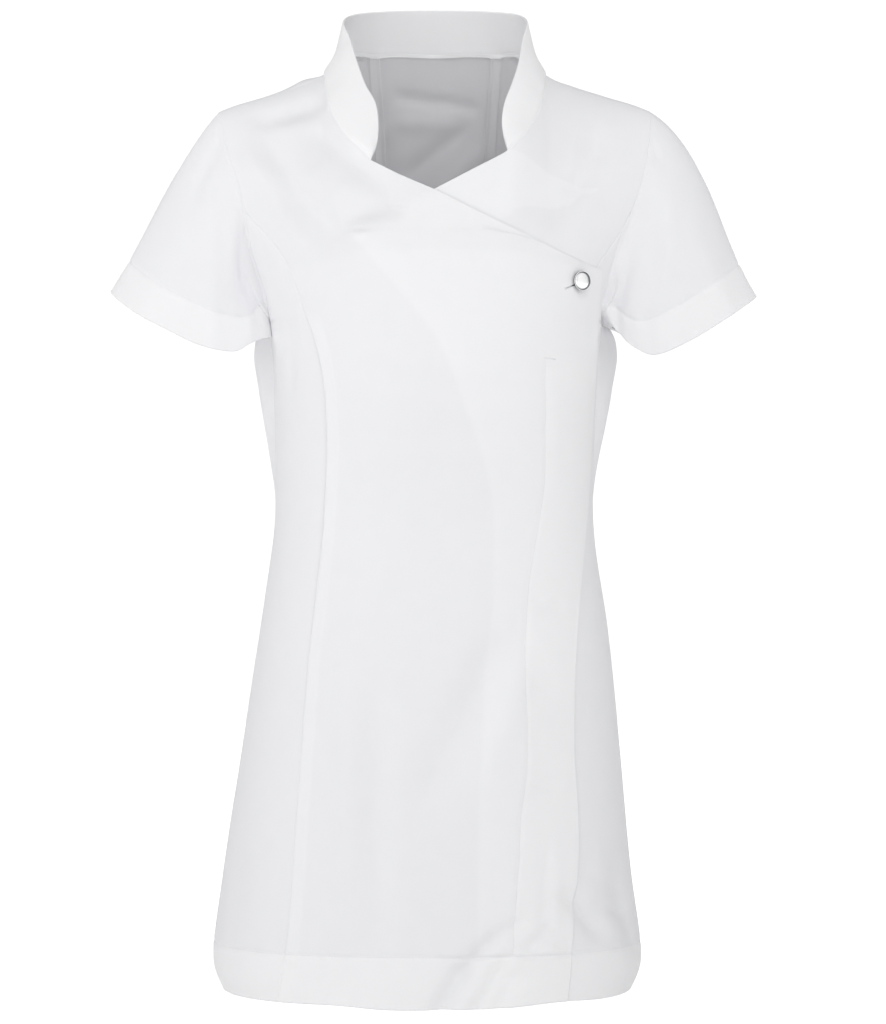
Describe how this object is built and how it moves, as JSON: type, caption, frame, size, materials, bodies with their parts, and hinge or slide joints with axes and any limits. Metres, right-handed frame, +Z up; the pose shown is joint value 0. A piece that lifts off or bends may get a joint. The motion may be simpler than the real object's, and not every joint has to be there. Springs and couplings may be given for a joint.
{
  "type": "work tunic",
  "caption": "Short-sleeved wrap-front work tunic with a stand collar, filled out as worn, closed by a domed button near the wearer's left armhole.",
  "frame": {"origin": "on the centre line at the height where the shoulder seams meet the collar, in the plane of the shoulder seams: the point held up by the wearer's shoulders", "axes": "+X to the wearer's left, -Y out of the front, +Z up"},
  "size_m": [0.587, 0.2914, 0.8988],
  "materials": {
    "tunic_cloth": "smooth white twill, matt with a faint sheen",
    "button_metal": "polished dome with a darker turned rim"
  },
  "bodies": {
    "root": {"front_wrap": "tunic_cloth", "front_side_right": "tunic_cloth", "front_under": "tunic_cloth", "front_side_left": "tunic_cloth", "back_centre": "tunic_cloth", "back_side_right": "tunic_cloth", "back_side_left": "tunic_cloth", "sleeve_right": "tunic_cloth", "sleeve_left": "tunic_cloth", "collar": "tunic_cloth", "button": "button_metal"}
  },
  "joints": []
}
